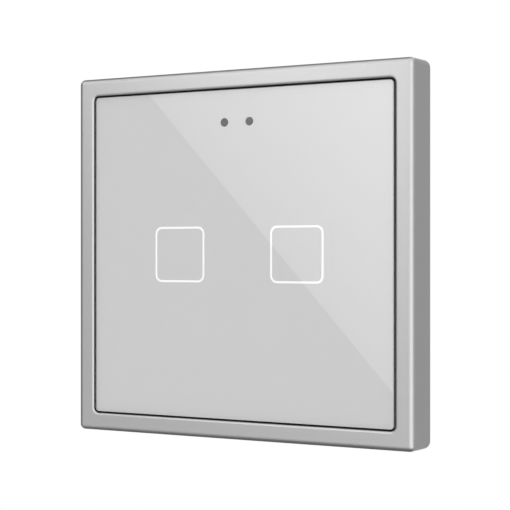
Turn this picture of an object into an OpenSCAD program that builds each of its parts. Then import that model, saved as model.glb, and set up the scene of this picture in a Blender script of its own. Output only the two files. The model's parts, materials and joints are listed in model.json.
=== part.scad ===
// Two-field glass touch light switch for a 60 mm wall box.
// Everything is drawn in plan: x to the right, y up, z out of the wall into the room.
// on_wall() then turns the plan into the part's frame: X right, Y into the wall, Z up.

/* [Frame] */
// Width and height of the frame where it meets the wall
frame_w = 82.5; // [74:0.5:90]
// How far each side leans in between the wall and the front
frame_draft = 0.64; // [0.1:0.02:0.9]
// Width of the frame's front face around its opening
frame_band = 4.06; // [2.6:0.01:6]
// Corner radius of the outline at the wall
frame_corner_r = 1.8; // [1.2:0.1:4]
// Rounding of the outer front edge
frame_edge_r = 1.2; // [0.4:0.1:1.6]
// Rounding of the inner front edge beside the glass
frame_inner_r = 0.6; // [0.3:0.1:1]
// Thickness of the side walls at the wall
frame_wall = 2.35; // [1.6:0.05:2.6]
// Corner radius inside the side walls
frame_cavity_r = 1.2; // [0.6:0.1:2.5]
// Length of each snap rib inside the frame
snap_rib_l = 10; // [6:1:16]
// How far a snap rib stands in from the side wall
snap_rib_h = 0.6; // [0.4:0.1:0.9]
// Thickness of a snap rib
snap_rib_t = 0.8; // [0.5:0.1:1.2]
// Distance of the snap ribs from the middle of their side
snap_rib_at = 20; // [14:1:28]

/* [Glass panel] */
// Thickness of the cover glass
glass_t = 0.8; // [0.7:0.1:4]
// Corner radius of the glass
glass_corner_r = 0.8; // [0.5:0.1:3]
// Ground arris along the front edge of the glass
glass_arris = 0.15; // [0.1:0.05:0.4]
// Open gap between the glass and the frame
panel_gap = 0.35; // [0.2:0.05:0.8]
// How far the frame stands proud of the glass
panel_recess = 0.1; // [0:0.05:0.5]
// Clear bond between the glass and the print
bond_t = 0.1; // [0.05:0.05:0.3]
// Thickness of the printed film
film_t = 0.15; // [0.1:0.05:0.4]
// Width of the adhesive tape behind the print
tape_w = 3; // [2:0.5:5]
// Thickness of the adhesive foam tape
tape_t = 2; // [0.3:0.1:3]
// Distance of the tape from the edge of the print
tape_inset = 1.2; // [0.6:0.1:2]

/* [Touch fields] */
// Distance of each touch field from the middle
field_x = 14.25; // [11:0.25:18]
// Width of an outline, from middle to middle of its stroke
field_w = 12; // [9:0.5:16]
// Corner radius of an outline
field_corner_r = 1.4; // [0.8:0.1:3]
// Width of an outline's stroke
field_stroke = 0.45; // [0.3:0.05:0.8]
// Distance of each sensor dot from the middle
dot_x = 3.04; // [2.4:0.02:6]
// Distance of the sensor dots below the top edge of the glass
dot_drop = 7.1; // [6:0.1:12]
// Diameter of a sensor dot
dot_d = 1.9; // [1.2:0.1:2.6]
// Width of the lip that holds a sensor window behind the print
window_lip = 1; // [0.8:0.1:1.2]

/* [Touch electronics] */
// Thickness of the carrier's floor
carrier_t = 1; // [0.8:0.1:2]
// Thickness of the carrier's skirt
skirt_t = 1.2; // [0.8:0.1:1.8]
// Step from the edge of the carrier's floor in to its skirt
skirt_step = 1.5; // [1:0.1:2]
// Thickness of the touch board
touch_board_t = 1; // [0.8:0.1:1.6]
// Room behind the touch board for its chips
chip_room = 1.5; // [1.2:0.1:3]
// Width of a light guide's ring
guide_ring = 2.4; // [1.8:0.1:3]
// Thickness of an electrode plate
pad_t = 0.3; // [0.2:0.1:0.5]
// Width of an electrode's legs
pad_leg_w = 0.8; // [0.5:0.1:1.2]
// Length of a diode
led_l = 1.6; // [1:0.1:2]
// Width of a diode
led_w = 0.8; // [0.5:0.1:1.2]
// Height of a diode
led_h = 0.6; // [0.4:0.1:0.7]
// Width of a sensor chip
sensor_w = 2; // [1.5:0.1:2.2]
// Height of a sensor chip
sensor_h = 0.7; // [0.5:0.1:0.8]
// Width of the touch controller
controller_w = 7; // [5:0.5:10]
// Height of the touch controller
controller_h = 0.9; // [0.7:0.1:1.1]
// Height of the touch controller over the middle
controller_y = -13; // [-18:0.5:-8]
// Length of the small chips
chip_l = 4; // [3:0.5:6]
// Width of the small chips
chip_w = 2.6; // [2:0.1:4]
// Height of the small chips
chip_h = 0.8; // [0.6:0.1:1.1]
// Distance of the small chips from the middle
chip_x = 11; // [9:0.5:16]

/* [Link] */
// Number of pins between the front and the power unit
pin_count = 6; // [4:1:8]
// Distance between pins
pin_pitch = 2.54; // [2:0.01:2.54]
// Width of a pin
pin_w = 0.64; // [0.5:0.02:0.8]
// How far the pins reach into their socket
pin_reach = 4; // [3:0.1:4.4]
// Width of the pin header
header_w = 2.5; // [2:0.1:3]
// Height of the pin header
header_h = 2.5; // [2:0.1:2.9]
// Width of the socket
socket_w = 5; // [4:0.1:6]
// Height of the link over the middle
link_y = 8; // [2:0.5:12]

/* [Back plate of the front] */
// Thickness of the back plate
plate_t = 1.2; // [1:0.1:1.6]
// Gap between the back plate and the wall bracket
plate_gap = 0.35; // [0.2:0.05:0.8]
// Diameter of a holding magnet
magnet_d = 8; // [6:0.5:10]
// Thickness of a holding magnet
magnet_t = 1.2; // [0.8:0.1:1.5]
// How far a magnet stands proud of the back plate
magnet_proud = 0.1; // [0:0.05:0.15]
// Distance of the magnets from the middle, sideways
magnet_x = 17; // [12:0.5:20]
// Distance of the magnets from the bracket's upper and lower edges
magnet_inset = 8.5; // [6:0.5:9.5]
// Wall around a magnet
magnet_wall = 0.8; // [0.5:0.1:1.2]
// Diameter of a locating peg
peg_d = 3; // [2:0.1:4]
// How far a peg stops short of the wall
peg_short = 0.2; // [0:0.1:0.6]
// Distance of the pegs from the bracket's side edges
peg_inset = 8.5; // [6:0.5:10]
// Distance of the pegs from the middle, upwards
peg_y = 14; // [9:0.5:18]
// Distance of the cover screws from the inside of the carrier's skirt
cover_screw_inset = 5; // [4:0.5:7]
// Diameter of a cover screw's shank
cover_screw_d = 1.6; // [1.2:0.1:2]
// Diameter of a cover screw's head
cover_head_d = 3.6; // [3:0.1:4.2]
// Height of a cover screw's head
cover_head_h = 0.8; // [0.5:0.1:0.9]
// Length of a cover screw's shank
cover_screw_l = 2.6; // [2:0.1:3]
// Wall of the bosses that take the cover screws
boss_wall = 1.2; // [0.8:0.1:1.6]

/* [Wall bracket] */
// Distance of the wall bracket from the inside of the frame
bracket_inset = 3.4; // [2:0.1:5]
// Thickness of the wall bracket
bracket_t = 1.2; // [1:0.1:2]
// Corner radius of the wall bracket
bracket_corner_r = 4; // [2:0.5:6]
// Distance of the slots' middles from the bracket's edges
slot_inset = 5.5; // [5:0.1:7]
// Width of a slot
slot_w = 4.2; // [3.6:0.1:5]
// Length of a slot
slot_l = 8; // [6:0.1:9]
// Diameter left free for the head of a box screw
box_head_d = 9; // [7:0.5:9.5]

/* [Rear housing] */
// Width and height of the rear housing
housing_w = 46; // [42:0.5:50]
// Chamfer of the housing's corners, so that it enters a round box
housing_chamfer = 6.2; // [5:0.1:6.4]
// Depth of the housing behind the wall
housing_depth = 24; // [22:0.5:30]
// Wall of the housing
housing_wall = 1.8; // [1.4:0.1:2]
// Thickness of the lid
lid_t = 2; // [1.5:0.1:3]
// Height of the lid's step inside the wall bracket
lid_step = 1; // [0.6:0.1:1.1]
// Distance of the lid's step from the edge of the lid
step_inset = 3; // [2.5:0.1:4]
// Chamfer of the lid's step
step_chamfer = 9; // [8:0.5:11]
// Distance of the housing screws from the sides of the housing
column_inset = 5.5; // [5:0.1:6]
// Radius of the columns around the housing screws
column_r = 3.2; // [2.8:0.1:3.6]
// Diameter of a housing screw's shank
housing_screw_d = 2.5; // [2:0.1:3]
// Diameter of a housing screw's head
housing_head_d = 4.4; // [3.8:0.1:5]
// Height of a housing screw's head
housing_head_h = 1.6; // [1.2:0.1:2]
// Depth of a housing screw's head below the back of the housing
housing_head_sink = 0.6; // [0.3:0.1:2]

/* [Power board] */
// Thickness of the power board
power_board_t = 1.6; // [1:0.1:2]
// Height of the posts between the lid and the power board
post_h = 2; // [2:0.1:3]
// Radius of the posts
post_r = 1.2; // [0.8:0.1:1.2]
// Distance of the posts and ribs from the middle, upwards
post_y = 6; // [4:0.5:8]
// Thickness of the ribs that back the power board
board_rib_t = 1.6; // [1.2:0.1:1.8]
// Width kept free between the relays for the supply parts
middle_w = 17.2; // [16:0.1:20]
// Gap between a relay and what stands beside it
relay_gap = 1; // [0.4:0.1:2]
// Length of a relay
relay_l = 19; // [16:0.5:21]
// Gap between a relay and the back of the housing
relay_top_gap = 1.2; // [0.4:0.1:4]
// Width of the transformer's core
core_w = 12; // [10:0.5:12.5]
// Thickness of the transformer's core
core_t = 5.5; // [4:0.5:6]
// Height of the transformer's core
core_h = 11; // [9:0.5:13]
// Width of the core's legs
core_leg = 1.7; // [1.5:0.1:1.8]
// Gap between the winding and the core's outer legs
winding_gap = 0.5; // [0.2:0.1:1]
// Distance of the transformer's middle from the upper edge of the power board
core_inset = 7.6; // [7:0.1:8.5]
// Diameter of the smoothing capacitor
can_d = 8; // [6:0.5:8]
// Height of the smoothing capacitor
can_h = 13; // [10:0.5:15]
// Width of the suppression capacitor
film_cap_w = 5; // [4:0.5:5.5]
// Length of the suppression capacitor
film_cap_l = 11; // [9:0.5:12]
// Height of the suppression capacitor
film_cap_h = 10; // [8:0.5:13]
// Diameter of the varistor
varistor_d = 7; // [5:0.5:7.5]
// Thickness of the varistor
varistor_t = 3.2; // [2.5:0.1:3.4]
// Diameter of the leads
lead_d = 0.7; // [0.5:0.1:0.8]
// Length of the leads below the varistor and the fuse
lead_l = 1; // [0.6:0.1:2]
// Diameter of the fuse
fuse_d = 3.2; // [2.6:0.1:3.4]
// Length of the fuse
fuse_l = 5; // [4:0.5:5.5]
// Length of the rectifier
rectifier_l = 4.6; // [4:0.1:5]
// Width of the rectifier
rectifier_w = 3.8; // [3:0.1:4]
// Height of the rectifier
rectifier_h = 2.4; // [2:0.1:3]

/* [Terminals] */
// Gap between the row of terminals and the columns beside it
row_gap = 0.3; // [0.15:0.05:0.6]
// Side wall of a terminal block beside its cage
block_wall = 0.75; // [0.5:0.05:1]
// Length of a terminal block, from its wire entry inwards
terminal_l = 12; // [11:0.1:12.5]
// Radius of a wire entry
wire_r = 1.45; // [1:0.05:1.45]
// Length of a wire entry
wire_entry_l = 3; // [2:0.1:3.2]
// Length of a clamp cage along its wire
cage_l = 5; // [4:0.1:5.2]
// Height of a clamp cage along its screw
cage_h = 6.6; // [6.4:0.1:6.8]
// Side wall of a clamp cage
cage_wall = 0.8; // [0.6:0.1:1]
// Threaded end wall of a clamp cage
cage_nut_t = 1.6; // [1.4:0.1:1.8]
// Plain end wall of a clamp cage, which lifts the wire
cage_foot_t = 1.2; // [1:0.1:1.3]
// Travel of a clamp cage
cage_travel = 2.4; // [2:0.1:2.4]
// Gap between a busbar and its cage
bar_gap = 0.3; // [0.15:0.05:0.6]
// Thickness of a busbar
bar_t = 0.8; // [0.6:0.1:0.9]
// Diameter of a terminal screw's shank
clamp_screw_d = 2.8; // [2.4:0.1:3]
// Diameter of a terminal screw's head
clamp_head_d = 4.5; // [4:0.1:4.6]
// Height of a terminal screw's head
clamp_head_h = 1.7; // [1.4:0.1:2]
// Depth of the shelf under a terminal screw's head, from the back
clamp_shelf_at = 5.4; // [4.5:0.1:5.6]
// Thickness of that shelf
clamp_shelf_t = 1.2; // [1:0.1:1.4]
// Width of the cross slots in the screw heads
drive_w = 0.7; // [0.4:0.1:0.9]
// Distance of the cross slots from the rim of a screw head
drive_margin = 0.6; // [0.3:0.1:0.9]
// Depth of the cross slots in the screw heads
drive_t = 0.4; // [0.2:0.1:0.5]

/* [Clearances] */
// Around a piece that sits in a pocket or a window
seat_gap = 0.1; // [0.05:0.01:0.12]
// Around a print rib or window in its opening
print_gap = 0.02; // [0.01:0.01:0.04]
// Around the carrier and the back plate inside the frame
frame_gap = 0.2; // [0.1:0.05:0.3]
// Around a board inside its housing
board_gap = 0.4; // [0.2:0.05:0.5]
// Around a screw's shank in a plain hole
shank_gap = 0.2; // [0.1:0.05:0.3]
// Around a screw's shank in a thread
thread_gap = 0.06; // [0.03:0.01:0.1]
// Around a piece that slides or turns
run_gap = 0.25; // [0.15:0.05:0.3]
// Around a link pin in its socket
pin_gap = 0.15; // [0.08:0.01:0.2]

/* [Hidden] */
$fn = 64;

// Overshoot of cuts past the faces that they open
over = 1;
terminal_count = 4;

// Heights of the front's layers, from the wall outwards
z_plate = bracket_t + plate_gap;
z_plate_front = z_plate + plate_t;
z_board = z_plate_front + chip_room;
z_board_front = z_board + touch_board_t;
z_carrier = z_board_front;
z_carrier_front = z_carrier + carrier_t;
z_film = z_carrier_front + tape_t;
z_film_front = z_film + film_t;
z_glass = z_film_front + bond_t;
z_glass_front = z_glass + glass_t;
frame_depth = z_glass_front + panel_recess;
z_guide = z_board_front + led_h + seat_gap;

// Heights of the power unit's layers, which lie behind the wall
z_back = -housing_depth;
z_power = -lid_t - post_h;
z_power_back = z_power - power_board_t;
z_socket_front = lid_step - seat_gap;
z_pin_tip = z_socket_front - pin_reach;

// Frame section: the rounding is limited by the corner that it runs around
side_l = norm([frame_depth, frame_draft]);
edge_r = min(frame_edge_r, frame_depth * (frame_corner_r - frame_draft) / (side_l - frame_draft));
edge_u = frame_corner_r - (edge_r * side_l + (frame_depth - edge_r) * frame_draft) / frame_depth;
edge_touch = [
    edge_u + edge_r * frame_depth / side_l,
    frame_depth - edge_r + edge_r * frame_draft / side_l
];
opening_w = frame_w - 2 * frame_draft - 2 * frame_band;
glass_w = opening_w - 2 * panel_gap;
dot_y = glass_w / 2 - dot_drop;
opening_r = glass_corner_r + panel_gap;
cavity_w = frame_w - 2 * frame_wall;

// Plates inside the frame
carrier_w = cavity_w - 2 * frame_gap;
plate_r = frame_cavity_r;
skirt_w = carrier_w - 2 * skirt_step;
touch_board_w = skirt_w - 2 * skirt_t - 2 * board_gap;
cover_screw_at = skirt_w / 2 - skirt_t - cover_screw_inset;
boss_d = cover_screw_d + 2 * thread_gap + 2 * boss_wall;
pad_w = field_w - guide_ring - 2 * run_gap;
sensor_hole_d = sensor_w * sqrt(2) + 2 * seat_gap;
link_l = pin_count * pin_pitch;

// Wall bracket and what meets it
bracket_w = cavity_w - 2 * bracket_inset;
slot_spacing = bracket_w - 2 * slot_inset;
window_l = slot_l - slot_w + box_head_d;
magnet_y = bracket_w / 2 - magnet_inset;
peg_x = bracket_w / 2 - peg_inset;

// Rear housing
inner_w = housing_w - 2 * housing_wall;
step_w = housing_w - 2 * step_inset;
column_at = housing_w / 2 - column_inset;
inner_chamfer = housing_chamfer - housing_wall * (2 - sqrt(2));
power_board_w = inner_w - board_gap;
power_board_chamfer = power_board_w - 2 * column_at + (column_r + board_gap) * sqrt(2);
post_x = power_board_w / 2 - post_r;
head_floor = z_back + housing_head_sink + housing_head_h;
core_window_w = (core_w - 4 * core_leg) / 2;
core_y = power_board_w / 2 - core_inset;
relay_w = inner_w / 2 - board_rib_t - relay_gap - middle_w / 2;
relay_x = middle_w / 2 + relay_w / 2;
relay_h = z_power_back - z_back - housing_wall - relay_top_gap;

// Terminals, in a row between the two lower columns
terminal_pitch = (2 * (column_at - column_r) - 2 * row_gap) / terminal_count;
block_w = terminal_pitch - seat_gap;
channel_w = block_w - 2 * block_wall;
cage_w = channel_w - 2 * seat_gap;
bar_w = cage_w - 2 * cage_wall - 2 * bar_gap;
y_entry = -housing_w / 2;
y_channel = y_entry + wire_entry_l;
y_block_in = y_entry + terminal_l;
y_cage = y_channel + run_gap + cage_l / 2;
y_tail = y_block_in - cage_wall - run_gap - bar_t;
z_shelf = z_back + clamp_shelf_at;
z_channel = z_shelf + clamp_shelf_t;
z_nut = z_channel + run_gap + cage_travel;
z_bar = z_nut + cage_nut_t + seat_gap;
z_bar_front = z_bar + bar_t;
z_foot = z_nut + cage_h - cage_foot_t;
z_wire = (z_bar_front + z_foot) / 2;

function terminal_x(n) = (n - (terminal_count + 1) / 2) * terminal_pitch;

module on_wall() {
    rotate([90, 0, 0]) children();
}

// A flat piece between two heights
module slab(low, high) {
    translate([0, 0, low]) linear_extrude(high - low) children();
}

module four(x, y) {
    for (sx = [-1, 1], sy = [-1, 1]) {
        translate([sx * x, sy * y]) children();
    }
}

module round_square(w, r) {
    square([w, w - 2 * r], center = true);
    square([w - 2 * r, w], center = true);
    four(w / 2 - r, w / 2 - r) circle(r);
}

module cut_square(w, chamfer) {
    a = w / 2;
    b = a - chamfer;
    polygon([[a, b], [b, a], [-b, a], [-a, b], [-a, -b], [-b, -a], [b, -a], [a, -b]]);
}

module slot(l, w) {
    square([l - w, w], center = true);
    for (s = [-1, 1]) {
        translate([s * (l - w) / 2, 0]) circle(d = w);
    }
}

// The four slots of the wall bracket, or what has to clear them
module slot_places() {
    for (a = [0 : 90 : 270]) {
        rotate(a) translate([slot_spacing / 2, 0]) children();
    }
}

// A square block whose edge has the section given as child, drawn from the corner's axis outwards
module edged_block(w, r, depth) {
    c = w / 2 - r;
    translate([-c, -c, 0]) cube([2 * c, 2 * c, depth]);
    for (a = [0 : 90 : 270]) {
        rotate(a) translate([c, c, 0]) {
            rotate([90, 0, 0]) linear_extrude(2 * c) children();
            rotate_extrude(angle = 90) children();
        }
    }
}

module frame_section() {
    base = frame_depth - edge_r;
    square([edge_u, frame_depth]);
    polygon([[0, 0], [frame_corner_r, 0], edge_touch, [edge_u, base], [0, base]]);
    intersection() {
        translate([edge_u, base]) circle(edge_r);
        translate([0, base]) square([frame_corner_r, edge_r]);
    }
}

module mouth_section() {
    base = frame_depth - frame_inner_r;
    square([opening_r, frame_depth + over]);
    difference() {
        translate([0, base]) square([opening_r + frame_inner_r, frame_inner_r + over]);
        translate([opening_r + frame_inner_r, base]) circle(frame_inner_r);
    }
}

module outer_frame() {
    color("silver") on_wall() {
        difference() {
            edged_block(frame_w, frame_corner_r, frame_depth) frame_section();
            edged_block(opening_w, opening_r, frame_depth + over) mouth_section();
            slab(-over, z_carrier_front) round_square(cavity_w, frame_cavity_r);
        }
        for (a = [0 : 90 : 270], s = [-1, 1]) {
            rotate(a) translate([cavity_w / 2 - snap_rib_h, s * snap_rib_at - snap_rib_l / 2, 0])
                slab(z_carrier - seat_gap - snap_rib_t, z_carrier - seat_gap)
                    square([snap_rib_h + frame_wall / 2, snap_rib_l]);
        }
    }
}

module glass_section() {
    inner = glass_corner_r - glass_arris;
    polygon([[0, 0], [glass_corner_r, 0], [glass_corner_r, glass_t - glass_arris],
        [inner, glass_t], [0, glass_t]]);
}

module glass_panel() {
    color("lightcyan", 0.4) on_wall() translate([0, 0, z_glass])
        edged_block(glass_w, glass_corner_r, glass_t) glass_section();
}

// An outline of a touch field; gap narrows its stroke on both sides
module outline(gap) {
    half = field_stroke / 2 - gap;
    difference() {
        round_square(field_w + 2 * half, field_corner_r + half);
        round_square(field_w - 2 * half, field_corner_r - half);
    }
}

module printed_film() {
    color("gainsboro") on_wall() slab(z_film, z_film_front) difference() {
        round_square(glass_w, glass_corner_r);
        for (s = [-1, 1]) {
            translate([s * field_x, 0]) outline(0);
            translate([s * dot_x, dot_y]) circle(d = dot_d);
        }
    }
}

module light_guide(side) {
    color("white") on_wall() translate([side * field_x, 0, 0]) {
        slab(z_guide, z_film) difference() {
            round_square(field_w + guide_ring, field_corner_r);
            square(field_w - guide_ring, center = true);
        }
        slab(z_film, z_film_front) outline(print_gap);
    }
}

module sensor_window(side) {
    color("dimgray") on_wall() translate([side * dot_x, dot_y, 0]) {
        slab(z_carrier_front, z_film) circle(d = dot_d + 2 * window_lip);
        slab(z_film, z_film_front) circle(d = dot_d - 2 * print_gap);
    }
}

module panel_tape() {
    tape_out = glass_w - 2 * tape_inset;
    color("black") on_wall() slab(z_carrier_front, z_film) difference() {
        round_square(tape_out, glass_corner_r);
        square(tape_out - 2 * tape_w, center = true);
    }
}

module panel_carrier() {
    pilot_d = cover_screw_d + 2 * thread_gap;
    color("black") on_wall() difference() {
        union() {
            slab(z_carrier, z_carrier_front) difference() {
                round_square(carrier_w, plate_r);
                for (s = [-1, 1]) {
                    translate([s * field_x, 0])
                        round_square(field_w + guide_ring + 2 * seat_gap, field_corner_r);
                    translate([s * dot_x, dot_y]) circle(d = sensor_hole_d);
                }
            }
            slab(z_plate_front, z_carrier) difference() {
                round_square(skirt_w, plate_r);
                square(skirt_w - 2 * skirt_t, center = true);
            }
            slab(z_plate_front, z_carrier) four(cover_screw_at, cover_screw_at) circle(d = boss_d);
        }
        slab(z_plate_front - over, z_plate + cover_head_h + cover_screw_l + seat_gap)
            four(cover_screw_at, cover_screw_at) circle(d = pilot_d);
    }
}

module touch_pad(side) {
    leg_at = (pad_w - pad_leg_w) / 2;
    color("goldenrod") on_wall() translate([side * field_x, 0, 0]) {
        slab(z_film - pad_t, z_film) square(pad_w, center = true);
        slab(z_board_front, z_film - pad_t) four(leg_at, leg_at) square(pad_leg_w, center = true);
    }
}

module touch_board() {
    color("darkgreen") on_wall() slab(z_board, z_board_front) difference() {
        square(touch_board_w, center = true);
        four(cover_screw_at, cover_screw_at) circle(d = boss_d + 2 * seat_gap);
    }
}

module touch_controller() {
    color("dimgray") on_wall() slab(z_board - controller_h, z_board)
        translate([0, controller_y]) square(controller_w, center = true);
}

module board_chips() {
    color("dimgray") on_wall() slab(z_board - chip_h, z_board)
        four(chip_x, -controller_y) square([chip_l, chip_w], center = true);
}

module indicator_leds() {
    color("ivory") on_wall() slab(z_board_front, z_board_front + led_h)
        for (s = [-1, 1], a = [0 : 90 : 270]) {
            translate([s * field_x, 0]) rotate(a) translate([0, field_w / 2])
                square([led_l, led_w], center = true);
        }
}

module sensor_chip(side) {
    color("black") on_wall() slab(z_board_front, z_board_front + sensor_h)
        translate([side * dot_x, dot_y]) square(sensor_w, center = true);
}

// Places of the link's pins
module pin_places() {
    for (n = [0 : pin_count - 1]) {
        translate([(n - (pin_count - 1) / 2) * pin_pitch, link_y]) children();
    }
}

module link_header() {
    color("black") on_wall() slab(z_board - header_h, z_board) difference() {
        translate([0, link_y]) square([link_l, header_w], center = true);
        pin_places() square(pin_w + 2 * print_gap, center = true);
    }
}

module link_pins() {
    color("gold") on_wall() slab(z_pin_tip, z_board) pin_places() square(pin_w, center = true);
}

// A cross of two slots in a screw's head, cut from its top face
module drive_cross(d) {
    for (a = [0, 90]) {
        rotate(a) square([d - 2 * drive_margin, drive_w], center = true);
    }
}

module back_plate() {
    magnet_pocket = z_plate - magnet_proud + magnet_t + seat_gap;
    head_hole = cover_head_d + 2 * shank_gap;
    color("whitesmoke") on_wall() {
        difference() {
            union() {
                slab(z_plate, z_plate_front) round_square(carrier_w, plate_r);
                slab(z_plate, magnet_pocket + magnet_wall)
                    four(magnet_x, magnet_y) circle(d = magnet_d + 2 * seat_gap + 2 * magnet_wall);
            }
            slab(z_plate - over, magnet_pocket) four(magnet_x, magnet_y) circle(d = magnet_d + 2 * seat_gap);
            slab(z_plate - over, z_plate_front + over) {
                slot_places() slot(window_l, box_head_d);
                translate([0, link_y]) square([link_l + 2 * run_gap, header_w + 2 * run_gap], center = true);
                four(cover_screw_at, cover_screw_at) circle(d = cover_screw_d + 2 * shank_gap);
            }
            slab(z_plate - over, z_plate + cover_head_h)
                four(cover_screw_at, cover_screw_at) circle(d = head_hole);
        }
        for (s = [-1, 1]) {
            translate([s * peg_x, -s * peg_y, 0]) slab(peg_short, z_plate + plate_t / 2) circle(d = peg_d);
        }
    }
}

module cover_screws() {
    seat = z_plate + cover_head_h;
    color("silver") on_wall() difference() {
        four(cover_screw_at, cover_screw_at) {
            slab(z_plate, seat) circle(d = cover_head_d);
            slab(z_plate, seat + cover_screw_l) circle(d = cover_screw_d);
        }
        slab(z_plate - over, z_plate + drive_t)
            four(cover_screw_at, cover_screw_at) drive_cross(cover_head_d);
    }
}

module holding_magnets() {
    low = z_plate - magnet_proud;
    color("lightgray") on_wall() slab(low, low + magnet_t) four(magnet_x, magnet_y) circle(d = magnet_d);
}

module mounting_bracket() {
    color("lightsteelblue") on_wall() slab(0, bracket_t) difference() {
        round_square(bracket_w, bracket_corner_r);
        cut_square(step_w + 2 * run_gap, step_chamfer);
        slot_places() slot(slot_l, slot_w);
        for (s = [-1, 1]) {
            translate([s * peg_x, -s * peg_y]) circle(d = peg_d + 2 * run_gap);
        }
        four(column_at, column_at) circle(d = housing_screw_d + 2 * thread_gap);
    }
}

module base_lid() {
    color("gainsboro") on_wall() {
        difference() {
            union() {
                slab(-lid_t, 0) cut_square(housing_w, housing_chamfer);
                slab(-lid_t, lid_step) cut_square(step_w, step_chamfer);
            }
            slab(-lid_t - over, lid_step + over) {
                translate([0, link_y]) square([link_l + 2 * run_gap, socket_w + 2 * run_gap], center = true);
                four(column_at, column_at) circle(d = housing_screw_d + 2 * shank_gap);
            }
        }
        slab(z_power, -lid_t) four(post_x, post_y) circle(post_r);
    }
}

module rear_housing() {
    row_w = terminal_count * terminal_pitch + 2 * seat_gap;
    color("whitesmoke") on_wall() difference() {
        union() {
            difference() {
                slab(z_back, -lid_t) cut_square(housing_w, housing_chamfer);
                slab(z_back + housing_wall, -lid_t + over) cut_square(inner_w, inner_chamfer);
            }
            intersection() {
                slab(z_back, -lid_t) four(column_at, column_at) circle(column_r);
                slab(z_back, -lid_t) cut_square(housing_w, housing_chamfer);
            }
            slab(z_back, z_power_back)
                four(inner_w / 2 - board_rib_t / 2, post_y)
                    square([board_rib_t + housing_wall, 2 * post_r], center = true);
        }
        slab(z_back - over, z_power_back + seat_gap)
            translate([-row_w / 2, y_entry - over]) square([row_w, terminal_l + over + seat_gap]);
        slab(z_back - over, -lid_t + over)
            four(column_at, column_at) circle(d = housing_screw_d + 2 * shank_gap);
        slab(z_back - over, head_floor)
            four(column_at, column_at) circle(d = housing_head_d + 2 * shank_gap);
    }
}

module bracket_screws() {
    head = z_back + housing_head_sink;
    color("silver") on_wall() difference() {
        four(column_at, column_at) {
            slab(head, head_floor) circle(d = housing_head_d);
            slab(head, bracket_t) circle(d = housing_screw_d);
        }
        slab(head - over, head + drive_t) four(column_at, column_at) drive_cross(housing_head_d);
    }
}

// Places of the busbars' tails in the power board
module tail_places() {
    for (n = [1 : terminal_count]) {
        translate([terminal_x(n), y_tail + bar_t / 2]) children();
    }
}

module power_board() {
    color("darkgreen") on_wall() slab(z_power_back, z_power) difference() {
        cut_square(power_board_w, power_board_chamfer);
        tail_places() square([bar_w + 2 * seat_gap, bar_t + 2 * seat_gap], center = true);
    }
}

module link_socket() {
    color("black") on_wall() difference() {
        slab(z_power, z_socket_front) translate([0, link_y]) square([link_l, socket_w], center = true);
        slab(z_pin_tip - seat_gap, z_socket_front + over)
            pin_places() square(pin_w + 2 * pin_gap, center = true);
    }
}

// A block that stands on the back of the power board
module board_block(x, y, size) {
    slab(z_power_back - size.z, z_power_back) translate([x, y]) square([size.x, size.y], center = true);
}

module relay(side) {
    relay_y = y_block_in + run_gap + relay_l / 2 + board_gap;
    color("royalblue") on_wall() board_block(side * relay_x, relay_y, [relay_w, relay_l, relay_h]);
}

module transformer_core() {
    color("dimgray") on_wall() difference() {
        board_block(0, core_y, [core_w, core_t, core_h]);
        slab(z_power_back - core_h + core_leg, z_power_back - core_leg)
            for (s = [-1, 1]) {
                translate([s * (core_leg + core_window_w / 2), core_y])
                    square([core_window_w, core_t + over], center = true);
            }
    }
}

module transformer_winding() {
    hole = [2 * core_leg + 2 * seat_gap, core_t + 2 * seat_gap];
    winding_t = core_window_w - seat_gap - winding_gap;
    grow = 2 * [winding_t, winding_t];
    color("orange") on_wall()
        slab(z_power_back - core_h + core_leg + seat_gap, z_power_back - core_leg - seat_gap)
            translate([0, core_y]) difference() {
                square(hole + grow, center = true);
                square(hole, center = true);
            }
}

module smoothing_capacitor() {
    color("midnightblue") on_wall() slab(z_power_back - can_h, z_power_back)
        translate([relay_gap - middle_w / 2 + can_d / 2, can_d / 2 - post_y / 2]) circle(d = can_d);
}

module suppression_capacitor() {
    color("gold") on_wall()
        board_block(film_cap_w / 2 + 2 * board_gap, -run_gap, [film_cap_w, film_cap_l, film_cap_h]);
}

module varistor() {
    x = -varistor_d / 2;
    y = -post_y - run_gap;
    z = z_power_back - lead_l - varistor_d / 2;
    color("teal") on_wall() {
        translate([x, y + varistor_t / 2, z]) rotate([90, 0, 0]) cylinder(d = varistor_d, h = varistor_t);
        for (s = [-1, 1]) {
            slab(z, z_power_back) translate([x + s * varistor_d / 4, y]) circle(d = lead_d);
        }
    }
}

module fuse() {
    x = -core_w / 2 - board_gap - fuse_l / 2;
    z = z_power_back - lead_l - fuse_d / 2;
    color("wheat") on_wall() {
        translate([x - fuse_l / 2, core_y + post_r, z]) rotate([0, 90, 0]) cylinder(d = fuse_d, h = fuse_l);
        for (s = [-1, 1]) {
            slab(z, z_power_back) translate([x + s * fuse_l / 4, core_y + post_r]) circle(d = lead_d);
        }
    }
}

module bridge_rectifier() {
    x = core_w / 2 + board_gap + rectifier_l / 2;
    color("dimgray") on_wall() board_block(x, core_y + post_r, [rectifier_l, rectifier_w, rectifier_h]);
}

module terminal_busbars() {
    color("khaki") on_wall() {
        slab(z_bar, z_bar_front)
            for (n = [1 : terminal_count]) {
                translate([terminal_x(n) - bar_w / 2, y_channel + run_gap])
                    square([bar_w, y_tail + bar_t - y_channel - run_gap]);
            }
        slab(z_bar, z_power) tail_places() square([bar_w, bar_t], center = true);
    }
}

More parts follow.
